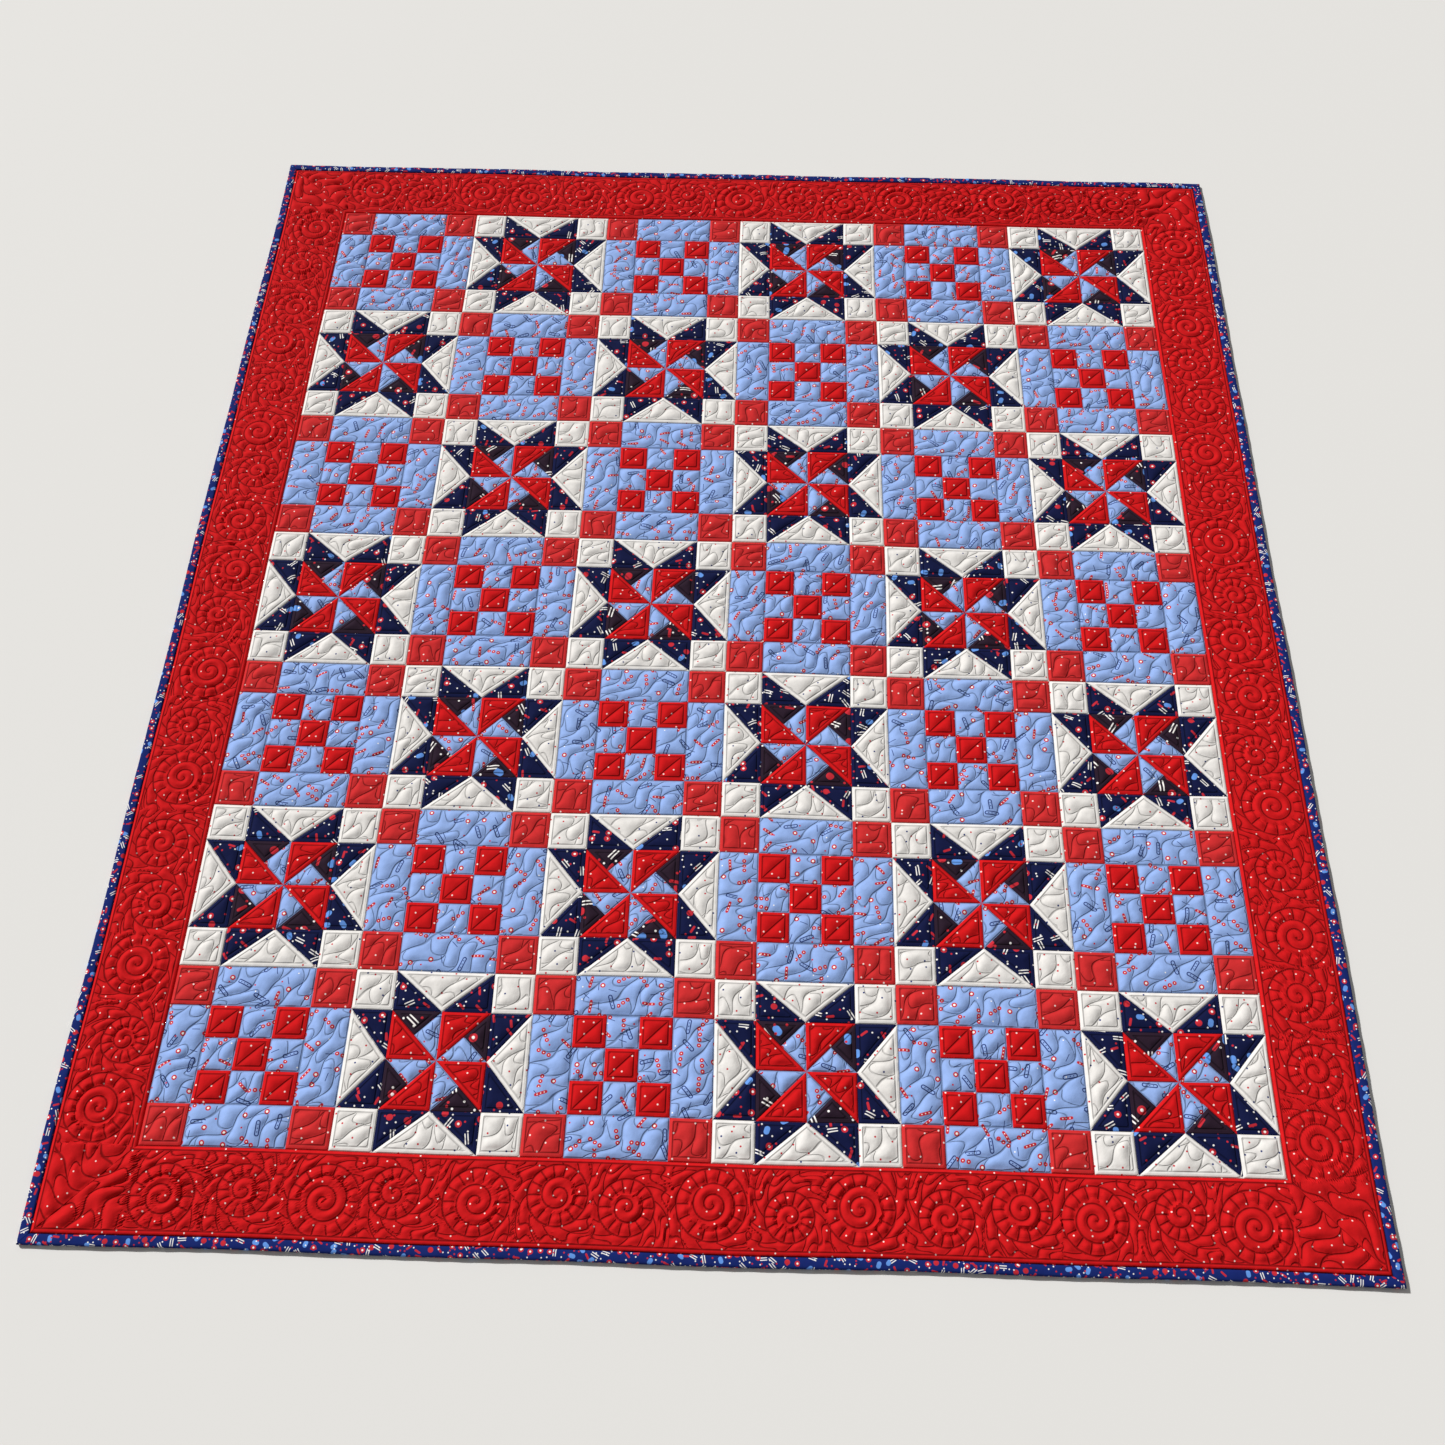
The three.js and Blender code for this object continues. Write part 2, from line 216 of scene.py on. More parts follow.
def lay_out(p, q, star):
    """Fabric and distance to the nearest seam, in units, at block coordinates p and q.

    Everything is folded by symmetry: corner squares lie past CORE both ways, side patches past it
    one way, and the rest is the centre. A goose's slanted seam is along / CORE + edge / SIDE = 1.
    A pinwheel quarter is turned to the lower left and cut by its diagonal and half the other one.
    """
    a, b = np.abs(p), np.abs(q)
    along, edge = np.minimum(a, b), EDGE - np.maximum(a, b)
    corner = along > CORE
    side = ~corner & (edge < SIDE)
    slant = (1 - along / CORE - edge / SIDE) / SLANT

    i, j = (p + CORE) // NINE, (q + CORE) // NINE
    m, n = (p + CORE) % NINE, (q + CORE) % NINE
    nine_seam = np.minimum.reduce([m, NINE - m, n, NINE - n])

    turns = [(p < 0) & (q < 0), (p >= 0) & (q < 0), (p >= 0) & (q >= 0)]
    s = np.select(turns, [p, q, -p], -q) + CORE
    t = np.select(turns, [q, -p, -q], p) + CORE
    lower, near = (s - t) / ROOT2, (CORE - s - t) / ROOT2

    corner_seam = np.minimum.reduce([along - CORE, edge, EDGE - along])
    plans = [
        (corner & star, WHITE, corner_seam),
        (corner, MUTED, corner_seam),
        (side & star & (slant > 0), WHITE, np.minimum(edge, slant)),
        (side & star, NAVY, np.minimum.reduce([-slant, CORE - along, SIDE - edge])),
        (side, BLUE, np.minimum.reduce([edge, SIDE - edge, CORE - along])),
        (star & (lower > 0), RED, np.minimum.reduce([t, CORE - s, lower])),
        (star & (near > 0), NIGHT, np.minimum.reduce([s, -lower, near])),
        (star, BLUE, np.minimum.reduce([CORE - t, -lower, -near])),
        ((i + j) % 2 == 0, RED, nine_seam),
    ]
    cases, fabrics, seams = zip(*plans)
    return np.select(cases, fabrics, BLUE), np.maximum(np.select(cases, seams, nine_seam), 0)


def in_row(across, up, row):
    """lay_out for a row of blocks, from units across the row and units up from its middle."""
    column = np.clip(across // BLOCK_UNITS, 0, COLUMNS - 1)
    return lay_out(across - (column + 0.5) * BLOCK_UNITS, up, (column + row) % 2 == 1)


def row_grid(row):
    """Grid points of a row, in units across and up, moved onto the slanted seams beside them.

    On a goose's slant, edge = SIDE * (1 - along / CORE). A point within half a cell of that, going
    straight out from the block's centre line, moves onto it.
    """
    cells = np.arange(COLUMNS * BLOCK_CELLS + 1)[:, None]
    column = np.minimum(cells // BLOCK_CELLS, COLUMNS - 1)
    star = (column + row) % 2 == 1
    p = cells / CELLS_PER_UNIT - (column + 0.5) * BLOCK_UNITS
    q = np.arange(BLOCK_CELLS + 1)[None, :] / CELLS_PER_UNIT - EDGE
    p, q, star = np.broadcast_arrays(p, q, star)
    half_cell = 0.5 / CELLS_PER_UNIT
    moved = []
    for out, beside in ((p, q), (q, p)):
        seam = SIDE * (1 - np.abs(beside) / CORE)
        short = EDGE - np.abs(out) - seam
        close = star & (np.abs(out) >= CORE) & (np.abs(beside) <= CORE)
        close &= (short <= half_cell) & (short > -half_cell)
        moved.append(np.where(close, np.sign(out) * (EDGE - seam), out))
    return moved[0] + (column + 0.5) * BLOCK_UNITS, moved[1]


def falling_cells(across, up, row):
    """True for the cells that a seam crosses from their upper left to their lower right.

    There the fabric beside the left edge is that beside the lower one, and differs from the others.
    """
    nudge = 0.1  # of the way from an edge's middle to the cell's
    place = np.stack([across, up])
    corners = [place[:, :-1, :-1], place[:, 1:, :-1], place[:, 1:, 1:], place[:, :-1, 1:]]
    middle = sum(corners) / 4
    edges = [(corners[k] + corners[(k + 1) % 4]) / 2 for k in range(4)]
    beside = [(1 - nudge) * edge + nudge * middle for edge in edges]
    below, right, above, left = (in_row(*spot, row)[0] for spot in beside)
    return (left == below) & (above == right) & (left != above)


def wander(other, own, long, start, swell, short, lean):
    """How far a seam is off its line, in drifts: sin(other / long + start) * cos(own / swell) and a
    share of sin(other / short + own / lean)."""
    slow = np.sin(other / long + start) * np.cos(own / swell)
    return slow + SHORT_SHARE * np.sin(other / short + own / lean)


def settled(x, y, drift):
    """Places in the quilt after it is laid out by hand: seams wander sideways in slow waves."""
    return x + drift * wander(y, x, **WANDER_X), y + drift * wander(x, y, **WANDER_Y)


def unevenness(x, y):
    """Share by which the padding is fuller or thinner at a place: two slow waves, one of them bent."""
    share, bend = 0.08, 0.7
    wave_x, bend_y, wave_y = 0.19, 0.19, 0.146  # metres a radian
    return share * (np.sin(x / wave_x + bend * np.sin(y / bend_y)) + np.cos(y / wave_y))


def lumps(x, y):
    """Share by which the padding is lumpy at a place: the product of two bent waves, a finger wide."""
    share, bend = 0.09, 2
    wave_x, bend_y = 8.5 * MM, 23 * MM
    wave_y, bend_x = 9.5 * MM, 27 * MM
    across = np.sin(x / wave_x + bend * np.sin(y / bend_y))
    return share * across * np.sin(y / wave_y + bend * np.sin(x / bend_x))


def varied(count, step, start=0.0):
    """A share from -1 to 1 that changes from each whole count to the next: sin(step * count + start)."""
    return np.sin(step * count + start)


def wave(turns, spacing):
    """Stitching that runs wherever turns is whole, as its cosine, sine and millimetres a radian."""
    reach = np.broadcast_to(spacing / MM / (2 * math.pi), np.shape(turns))
    return np.stack([np.cos(2 * math.pi * turns), np.sin(2 * math.pi * turns), reach], axis=-1)


def off_line(stitching):
    """Distance from the nearest line of a wave of stitching."""
    return np.abs(np.arctan2(stitching[..., 1], stitching[..., 0])) * stitching[..., 2] * MM


def only_where(mask, stitching):
    """Stitching that is kept where the mask is true."""
    return np.where(mask[..., None], stitching, NO_LINE_HERE)


def leaf_lines(x, y, padding):
    """Leafy meander: swaying long lines from lower left to upper right, with bowed cross lines.

    Long lines are where (across + sway) / width is whole. Between two of them the cross lines are
    where (along + bow) / length is whole, each strip shifted by the golden ratio from the last.
    """
    slow_sway, slow_wave, slow_bend, bend = 9 * MM, 21 * MM, 47 * MM, 1.6
    quick_sway, quick_wave, quick_lean = 5 * MM, 10.5 * MM, 31 * MM
    leaf_bow, bow_step, bow_start = 16 * MM, 1.7, 0.4
    strip_bow, strip_step, strip_wave = 10 * MM, 2.1, 70 * MM
    along, across = (x + y) / ROOT2, (y - x) / ROOT2
    sway = slow_sway * np.sin(along / slow_wave + bend * np.sin(across / slow_bend))
    sway += quick_sway * np.sin(along / quick_wave + across / quick_lean)
    v = (across + sway) / padding.leaf_width
    strip = np.floor(v)
    bow = leaf_bow * (1 - (2 * (v - strip) - 1) ** 2) * np.sign(varied(strip, bow_step, bow_start))
    bow += strip_bow * varied(strip, strip_step, along / strip_wave)
    u = (along + bow) / padding.leaf_length + GOLDEN * strip
    return wave(v, padding.leaf_width), wave(u, padding.leaf_length)


def scroll_lines(s, t, seam_length, padding):
    """A border's scrolls: a spiral in each, a ring round it, ribs across its rim and feathers outside.

    With r and angle from a scroll's heart, the spiral is where r / pitch - angle / turn is whole,
    the ring where (r - radius) / pitch is 0, and the ribs where ribs * angle / turn is whole. The
    feathers are ribs that lean over with (r - radius), so that they run out in curves, and wavy
    rings round the first one cut them into leaves. Hearts lie high and low in turn, and they and
    the radius vary from scroll to scroll.
    """
    stray, stray_step = 7 * MM, 4.1  # of a heart along the border
    swing, mean_swing, swing_change = 10 * MM, 0.6, 0.4  # of a heart off the border's middle line
    swing_step = 2.3
    mean_radius, radius_change, radius_step = 0.88, 0.16, 2.6
    feather_lean, leaf_wave, leaf_twist = 24 * MM, 0.45, 3
    spiral_end, ring_start, rib_start = 0.9, 0.5, 1.3  # pitches inside the ring
    pitch = padding.scroll_pitch
    count = round(seam_length / padding.scroll_spacing)
    cell = np.clip(np.floor((s / seam_length + 0.5) * count), 0, count - 1)
    hand = np.where(cell % 2 == 0, 1, -1)
    heart_s = ((cell + 0.5) / count - 0.5) * seam_length + stray * varied(cell, stray_step)
    heart_t = BORDER_WIDTH / 2 + swing * hand * (mean_swing + swing_change * varied(cell, swing_step))
    radius = padding.scroll_radius * (mean_radius + radius_change * varied(cell, radius_step, seam_length))
    r, angle = np.hypot(s - heart_s, t - heart_t), np.arctan2(t - heart_t, s - heart_s)
    turn = angle / (2 * math.pi)
    spiral = wave(r / pitch - hand * turn + GOLDEN * cell, pitch)
    outside = np.maximum(r - radius, 0) / feather_lean
    waviness = leaf_wave * np.minimum(outside, 1)
    waviness = waviness * np.sin(padding.feathers * angle + leaf_twist * hand * outside)
    rings = wave((r - radius) / pitch + waviness, pitch)
    around = np.where(r < radius, padding.scroll_ribs, padding.feathers)
    ribs = wave(around * turn + hand * outside, 2 * math.pi * r / around)
    return [
        only_where(r < radius - spiral_end * pitch, spiral),
        only_where(r > radius - ring_start * pitch, rings),
        only_where(r > radius - rib_start * pitch, ribs),
    ]


def dip(distance, width):
    """How far a line of stitching draws the cloth down beside it: exp(-distance / width), with the
    distance rounded off to a hyperbola within a thread's reach of the line."""
    thread = 1.5 * MM
    return np.exp((thread - np.hypot(distance, thread)) / width)


def quilted_height(seam, margin, lines, fullness, x, y, padding):
    """Height of the quilt's face from its seams and its lines of stitching.

    A puff rises from its seam as 1 - exp(-distance / pillow) and is drawn down again along a line at
    the margin and along each line of quilting inside it, each by its depth, a share of the puff.
    """
    margin_depth, margin_dip = 0.42, 2.2 * MM
    line_rise, line_dip = 2.5 * MM, 6 * MM
    puff = 1 - np.exp(-seam / padding.pillow)
    puff = puff * (1 - margin_depth * dip(seam - margin, margin_dip))
    inside = np.clip((seam - margin) / line_rise, 0, 1)
    for line, depth in lines:
        puff = puff * (1 - depth * inside * dip(off_line(line), line_dip))
    puff = puff * (1 + inside * lumps(x, y)) * (1 + unevenness(x, y))
    return padding.seam_height + padding.loft * fullness * puff


def face_triangles(columns, rows, falling):
    """The cells of a face's grid as triangles, each cut by its rising or its falling diagonal."""
    number = np.arange(columns * rows).reshape(columns, rows)
    a, b, c, d = number[:-1, :-1], number[1:, :-1], number[1:, 1:], number[:-1, 1:]
    first = np.stack([a, b, np.where(falling, d, c)], axis=-1)
    second = np.stack([np.where(falling, b, a), c, d], axis=-1)
    return np.stack([first, second], axis=-2).reshape(-1, 3)


def walls_under(top):
    """Points, four-sided walls and end walls that close a face's grid down to a flat underside.

    The underside is strips from the near edge to the far one, so it needs no points but theirs.
    """
    columns, rows = top.shape[:2]
    number = np.arange(columns * rows).reshape(columns, rows)
    near = columns * rows + np.arange(columns)
    far = near + columns
    flat = np.array([1, 1, 0])
    points = np.concatenate([top[:, 0] * flat, top[:, -1] * flat])
    strips = [
        (near[:-1], near[1:], number[1:, 0], number[:-1, 0]),
        (number[:-1, -1], number[1:, -1], far[1:], far[:-1]),
        (near[:-1], far[:-1], far[1:], near[1:]),
    ]
    quads = np.concatenate([np.stack(strip, axis=1) for strip in strips])
    left = np.array([near[0], *number[0], far[0]])
    right = np.array([near[-1], far[-1], *number[-1, ::-1]])
    return points, quads, [left, right]


def make_piece(name, points, faces, materials, slots):
    """A named mesh object with smooth faces, creased where its walls turn, that rides on the quilt."""
    mesh = bpy.data.meshes.new(name)
    mesh.from_pydata(points, [], faces)
    for material in materials:
        mesh.materials.append(material)
    mesh.polygons.foreach_set("material_index", slots)
    mesh.polygons.foreach_set("use_smooth", np.ones(len(faces), dtype=bool))
    mesh.set_sharp_from_angle(angle=WALL_TURN)
    mesh.update()
    piece = bpy.data.objects.new(name, mesh)
    bpy.context.scene.collection.objects.link(piece)
    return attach(piece, "root")


def quilted_sheet(name, top, triangles, fabrics, wall, materials, stitching, face_map):
    """A closed quilted sheet from its face's grid, with its seams and stitching as attributes.

    fabrics gives each face triangle its material, wall is that of the walls and the last one is the
    back's. face_map is the baking map's place of each triangle's corners; walls and back lie in a
    strip below them.
    """
    columns, rows = top.shape[:2]
    under, quads, ends = walls_under(top)
    faces = [*triangles.tolist(), *quads.tolist(), *(end.tolist() for end in ends)]
    points = np.concatenate([top.reshape(-1, 3), under])
    slots = np.full(len(faces), wall, dtype=np.int32)
    slots[: len(triangles)] = fabrics
    back_start = len(triangles) + 2 * (columns - 1)
    slots[back_start : back_start + columns - 1] = len(materials) - 1
    piece = make_piece(name, points, faces, materials, slots)

    for key, values in stitching.items():
        kind, field = ("FLOAT", "value") if values.ndim == 2 else ("FLOAT_VECTOR", "vector")
        flat = values.reshape(columns * rows, -1)
        whole = np.concatenate([flat, np.repeat(flat[:1], len(under), axis=0)])
        layer = piece.data.attributes.new(key, kind, "POINT")
        layer.data.foreach_set(field, whole.astype(np.float32).ravel())

    corners = np.concatenate([quads.ravel(), *ends])
    low, high = points.min(axis=0), points.max(axis=0)
    share = (points[corners] - low) / (high - low)
    level = DEPTH_SHARE * share[:, 1] + (1 - DEPTH_SHARE) * share[:, 2]
    strip = np.stack([share[:, 0], STRIP_SHARE * level], axis=1)
    face = face_map.reshape(-1, 2) * (1, FACE_SHARE) + (0, 1 - FACE_SHARE)
    uv = np.concatenate([face, strip])
    layer = piece.data.uv_layers.new(name="OFBake")
    layer.data.foreach_set("uv", uv.astype(np.float32).ravel())
    return piece


def pieced_row(row, padding, cottons):
    """One row of blocks: a grid of eighth-inch cells whose lines and diagonals lie on the seams."""
    across, up = row_grid(row)
    fabric, seam_units = in_row(across, up, row)
    x = across * UNIT + FIELD_LOW.x
    y = (up + EDGE) * UNIT + FIELD_HIGH.y - (row + 1) * BLOCK
    seam = seam_units * UNIT

    long_lines, cross_lines = leaf_lines(x, y, padding)
    star = (across // BLOCK_UNITS + row) % 2 == 1
    square = (fabric == RED) & ~star
    from_middle = [(v % BLOCK_UNITS - SIDE) % NINE - NINE / 2 for v in (across, up + EDGE)]
    diagonal = (from_middle[0] - from_middle[1]) * UNIT / ROOT2
    long_lines[square] = wave(diagonal / BLOCK, BLOCK)[square]
    dark = (fabric == NAVY) | (fabric == NIGHT)
    long_lines = only_where(~dark, long_lines)
    cross_lines = only_where(~dark & ~square, cross_lines)

    dark_fullness, white_fullness, full = 0.72, 0.95, 1.0
    long_depth, cross_depth = 0.58, 0.5
    fullness = np.select([dark, fabric == WHITE], [dark_fullness, white_fullness], full)
    margin = np.where(fabric == BLUE, padding.ditch, padding.echo)
    lines = [(long_lines, long_depth), (cross_lines, cross_depth)]
    z = quilted_height(seam, margin, lines, fullness, x, y, padding)
    middle = FIELD_HIGH.y - (row + 0.5) * BLOCK
    clear_y = middle + (y - middle) * (1 - SEAM_GAP / BLOCK)
    top = np.stack([*settled(x, clear_y, padding.drift), z], axis=-1)

    falling = falling_cells(across, up, row)
    triangles = face_triangles(*top.shape[:2], falling)
    corner_across, corner_up = across.ravel()[triangles], up.ravel()[triangles]
    fabrics = in_row(corner_across.mean(axis=1), corner_up.mean(axis=1), row)[0]
    column = (corner_across.mean(axis=1) // BLOCK_UNITS)[:, None]
    fold = COLUMNS / 2
    face_u = (column % fold + corner_across / BLOCK_UNITS - column) / fold
    face_v = (column // fold + corner_up / BLOCK_UNITS + 0.5) / 2
    stitching = {"seam": seam / MM, "long_lines": long_lines, "cross_lines": cross_lines}
    face_map = np.stack([face_u, face_v], axis=-1)
    name = f"pieced_row_{row + 1}"
    piece = quilted_sheet(name, top, triangles, fabrics, BACKING, cottons, stitching, face_map)
    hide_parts("quilt_field")
    return piece


def turned(x, y, quarter_turns):
    """Places turned about the quilt's middle by quarter turns."""
    cosine, sine = [(1, 0), (0, 1), (-1, 0), (0, -1)][quarter_turns]
    return cosine * x - sine * y, sine * x + cosine * y


def border_strip(side, turn, seam_length, away, padding, cottons):
    """A mitred border strip: places along it are a share of a length that grows with the width."""
    depths, fullness = (0.68, 0.68, 0.64), 1.3
    mitre_margin = 1.2 * padding.echo  # leaves no line of stitching along the mitre
    share = np.linspace(-1, 1, round(seam_length / CELL) + 1)[:, None]
    t = np.linspace(SEAM_GAP / 2, BORDER_WIDTH - SEAM_GAP / 2, round(BORDER_WIDTH / CELL) + 1)[None, :]
    share, t = np.broadcast_arrays(share, t)
    reach = seam_length / 2 + t - SEAM_GAP
    s = share * reach
    mitre = (reach - np.abs(s)) / ROOT2 + mitre_margin
    seam = np.minimum.reduce([t, BORDER_WIDTH - t, mitre])

    scrolls = scroll_lines(s, t, seam_length, padding)
    leaves = [*leaf_lines(s, t, padding), np.broadcast_to(NO_LINE_HERE, (*s.shape, 3))]
    corner = (np.abs(s) > seam_length / 2)[..., None]
    lines = [np.where(corner, leaf, scroll) for leaf, scroll in zip(leaves, scrolls)]
    x, y = turned(s, away + t, turn)
    z = quilted_height(seam, padding.echo, zip(lines, depths), fullness, x, y, padding)
    top = np.stack([*settled(x, y, padding.drift), z], axis=-1)

    columns, rows = s.shape
    triangles = face_triangles(columns, rows, np.zeros((columns - 1, rows - 1), dtype=bool))
    place = ((share.ravel() + 1) / 2 * BORDER_FOLDS)[triangles]
    fold = np.minimum(place.mean(axis=1) // 1, BORDER_FOLDS - 1)[:, None]
    face_v = (fold + t.ravel()[triangles] / BORDER_WIDTH) / BORDER_FOLDS
    face_map = np.stack([place - fold, face_v], axis=-1)
    stitching = {"seam": seam / MM, "long_lines": lines[0], "cross_lines": lines[1], "ribs": lines[2]}
    name = f"border_cloth_{side}"
    piece = quilted_sheet(name, top, triangles, BORDER, BORDER, cottons, stitching, face_map)
    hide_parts(f"border_{side}")
    return piece


def binding_roll(side, turn, seam_length, away, padding, cotton):
    """A folded length of binding: a squared-off oval section carried along the edge, mitred.

    Section: out = w / 2 * (1 + cos^0.5), up = h / 2 * (1 + sin^0.75), with signed powers, and its
    height swells and dips along the edge where the fold was pressed and stitched by hand. The
    attribute cloth is the place on the unfolded strip: along it and round the section from below.
    """
    ring_points, out_power, up_power = 20, 0.5, 0.75
    pucker_share, press_wave = 0.05, 41 * MM
    stitch_wave, stitch_bend, bend = 8.5 * MM, 60 * MM, 2
    rim_length = seam_length + 2 * BORDER_WIDTH
    share = np.linspace(-1, 1, round(rim_length / (2 * CELL)) + 1)[:, None]
    around = np.linspace(-0.5 * math.pi, 1.5 * math.pi, ring_points, endpoint=False)[None, :]
    sideways, upward = np.cos(around), np.sin(around)
    s_even = share * rim_length / 2
    stitched = np.sin(s_even / stitch_wave + bend * np.sin(s_even / stitch_bend))
    pucker = pucker_share * (stitched + np.sin(s_even / press_wave))
    out = BINDING_WIDTH / 2 * (1 + np.sign(sideways) * np.abs(sideways) ** out_power)
    out = SEAM_GAP / 2 + out * (1 - SEAM_GAP / BINDING_WIDTH) + 0 * share
    up = padding.roll_height / 2 * (1 + np.sign(upward) * np.abs(upward) ** up_power) * (1 + pucker)
    s = share * (rim_length / 2 + out - SEAM_GAP)
    x, y = turned(s, away + BORDER_WIDTH + out, turn)
    points = np.stack([*settled(x, y, padding.drift), up], axis=-1)
    columns, ring = s.shape
    number = np.arange(columns * ring).reshape(columns, ring)
    following = np.roll(number, -1, axis=1)
    quads = np.stack([number[:-1], following[:-1], following[1:], number[1:]], axis=-1).reshape(-1, 4)
    faces = [*quads.tolist(), number[0, ::-1].tolist(), number[-1].tolist()]
    slots = np.zeros(len(faces), dtype=np.int32)
    piece = make_piece(f"binding_roll_{side}", points.reshape(-1, 3), faces, [cotton], slots)
    steps = np.hypot(np.diff(out, axis=1), np.diff(up, axis=1))
    round_fold = np.concatenate([np.zeros_like(share), np.cumsum(steps, axis=1)], axis=1)
    cloth = np.stack([s + turn * rim_length, round_fold, np.zeros_like(s)], axis=-1)
    layer = piece.data.attributes.new("cloth", "FLOAT_VECTOR", "POINT")
    layer.data.foreach_set("vector", cloth.astype(np.float32).ravel())
    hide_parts(f"binding_{side}")
    return piece


def add(tree, kind, links=None, **settings):
    """Adds a node with its settings; links maps its inputs to values or to outputs. Gives its outputs."""
    node = tree.nodes.new(kind)
    for name, value in settings.items():
        setattr(node, name, value)
    for key, value in (links or {}).items():
        if isinstance(value, bpy.types.NodeSocket):
            tree.links.new(value, node.inputs[key])
        else:
            node.inputs[key].default_value = value
    return node.outputs


def scattered(tree, place, spacing, shift):
    """Places of a print's marks, about a spacing apart: millimetres from the nearest one's heart, turned
    by chance, how far that is, and a chance number that is the same all over the mark."""
    moved = add(tree, "ShaderNodeVectorMath", {0: place, 1: (shift, shift * GOLDEN, 0)})[0]
    cells = add(
        tree,
        "ShaderNodeTexVoronoi",
        {"Vector": moved, "Scale": 1 / spacing, "Randomness": MARK_JITTER},
        voronoi_dimensions="2D",
    )
    picks = add(tree, "ShaderNodeSeparateColor", {0: cells["Color"]})
    flat = add(tree, "ShaderNodeVectorMath", {0: moved, 1: (1, 1, 0)}, operation="MULTIPLY")[0]
    local = add(tree, "ShaderNodeVectorMath", {0: flat, 1: cells["Position"]}, operation="SUBTRACT")[0]
    in_mm = add(tree, "ShaderNodeVectorMath", {0: local, "Scale": 1 / MM}, operation="SCALE")[0]
    angle = add(tree, "ShaderNodeMath", {0: picks[2], 1: 2 * math.pi}, operation="MULTIPLY")[0]
    spun = add(tree, "ShaderNodeVectorRotate", {"Vector": in_mm, "Angle": angle}, rotation_type="Z_AXIS")[0]
    heart = add(tree, "ShaderNodeVectorMath", {0: in_mm}, operation="LENGTH")[1]
    return spun, heart, picks[0]


def inked(tree, distance, reach, pick, share):
    """Where a mark is printed: within reach of its middle line, on that share of the scattered places."""
    blur = 0.3  # millimetres over which the ink's edge fades
    limits = {"Value": distance, FROM_LOW: reach - blur, FROM_HIGH: reach + blur, TO_LOW: 1, TO_HIGH: 0}
    inside = add(tree, "ShaderNodeMapRange", limits)[0]
    middle, half = (share[0] + share[1]) / 2, (share[1] - share[0]) / 2
    chosen = add(tree, "ShaderNodeMath", {0: pick, 1: middle, 2: half}, operation="COMPARE")[0]
    return add(tree, "ShaderNodeMath", {0: inside, 1: chosen}, operation="MULTIPLY")[0]


def printed(tree, ground, marks):
    """The cloth's colour: its ground with each mark, a mask and a colour, printed over the last."""
    cloth = ground
    for mask, ink in marks:
        under = cloth if isinstance(cloth, bpy.types.NodeSocket) else (*cloth, 1)
        links = {MIX_SHARE: mask, MIX_UNDER: under, MIX_OVER: (*ink, 1)}
        cloth = add(tree, "ShaderNodeMix", links, data_type="RGBA")[MIX_RESULT]
    return cloth


def from_bar(tree, local, half_length, bars=1, apart=0):
    """Distance from a straight bar through a mark's heart, or from the nearer of two beside it."""
    x, y, _ = add(tree, "ShaderNodeSeparateXYZ", {0: local})
    level = add(tree, "ShaderNodeMath", {0: y}, operation="ABSOLUTE")[0]
    if bars == 2:
        level = add(tree, "ShaderNodeMath", {0: level, 1: apart}, operation="SUBTRACT")[0]
    run = add(tree, "ShaderNodeMath", {0: x}, operation="ABSOLUTE")[0]
    past = add(tree, "ShaderNodeMath", {0: run, 1: half_length}, operation="SUBTRACT")[0]
    past = add(tree, "ShaderNodeMath", {0: past, 1: 0.0}, operation="MAXIMUM")[0]
    corner = add(tree, "ShaderNodeCombineXYZ", {0: past, 1: level})[0]
    return add(tree, "ShaderNodeVectorMath", {0: corner}, operation="LENGTH")[1]


def from_outline(tree, distance, offset):
    """Distance from the line that runs round a mark at an offset from its middle."""
    past = add(tree, "ShaderNodeMath", {0: distance, 1: offset}, operation="SUBTRACT")[0]
    return add(tree, "ShaderNodeMath", {0: past}, operation="ABSOLUTE")[0]


def from_beads(tree, local, apart):
    """Distance from the nearest of three beads in a row through a mark's heart."""
    x, y, _ = add(tree, "ShaderNodeSeparateXYZ", {0: local})
    step = add(tree, "ShaderNodeMath", {0: x, 1: apart}, operation="DIVIDE")[0]
    whole = add(tree, "ShaderNodeMath", {0: step}, operation="ROUND")[0]
    bead = add(tree, "ShaderNodeClamp", {0: whole, 1: -1, 2: 1})[0]
    place = add(tree, "ShaderNodeMath", {0: bead, 1: -apart, 2: x}, operation="MULTIPLY_ADD")[0]
    corner = add(tree, "ShaderNodeCombineXYZ", {0: place, 1: y})[0]
    return add(tree, "ShaderNodeVectorMath", {0: corner}, operation="LENGTH")[1]


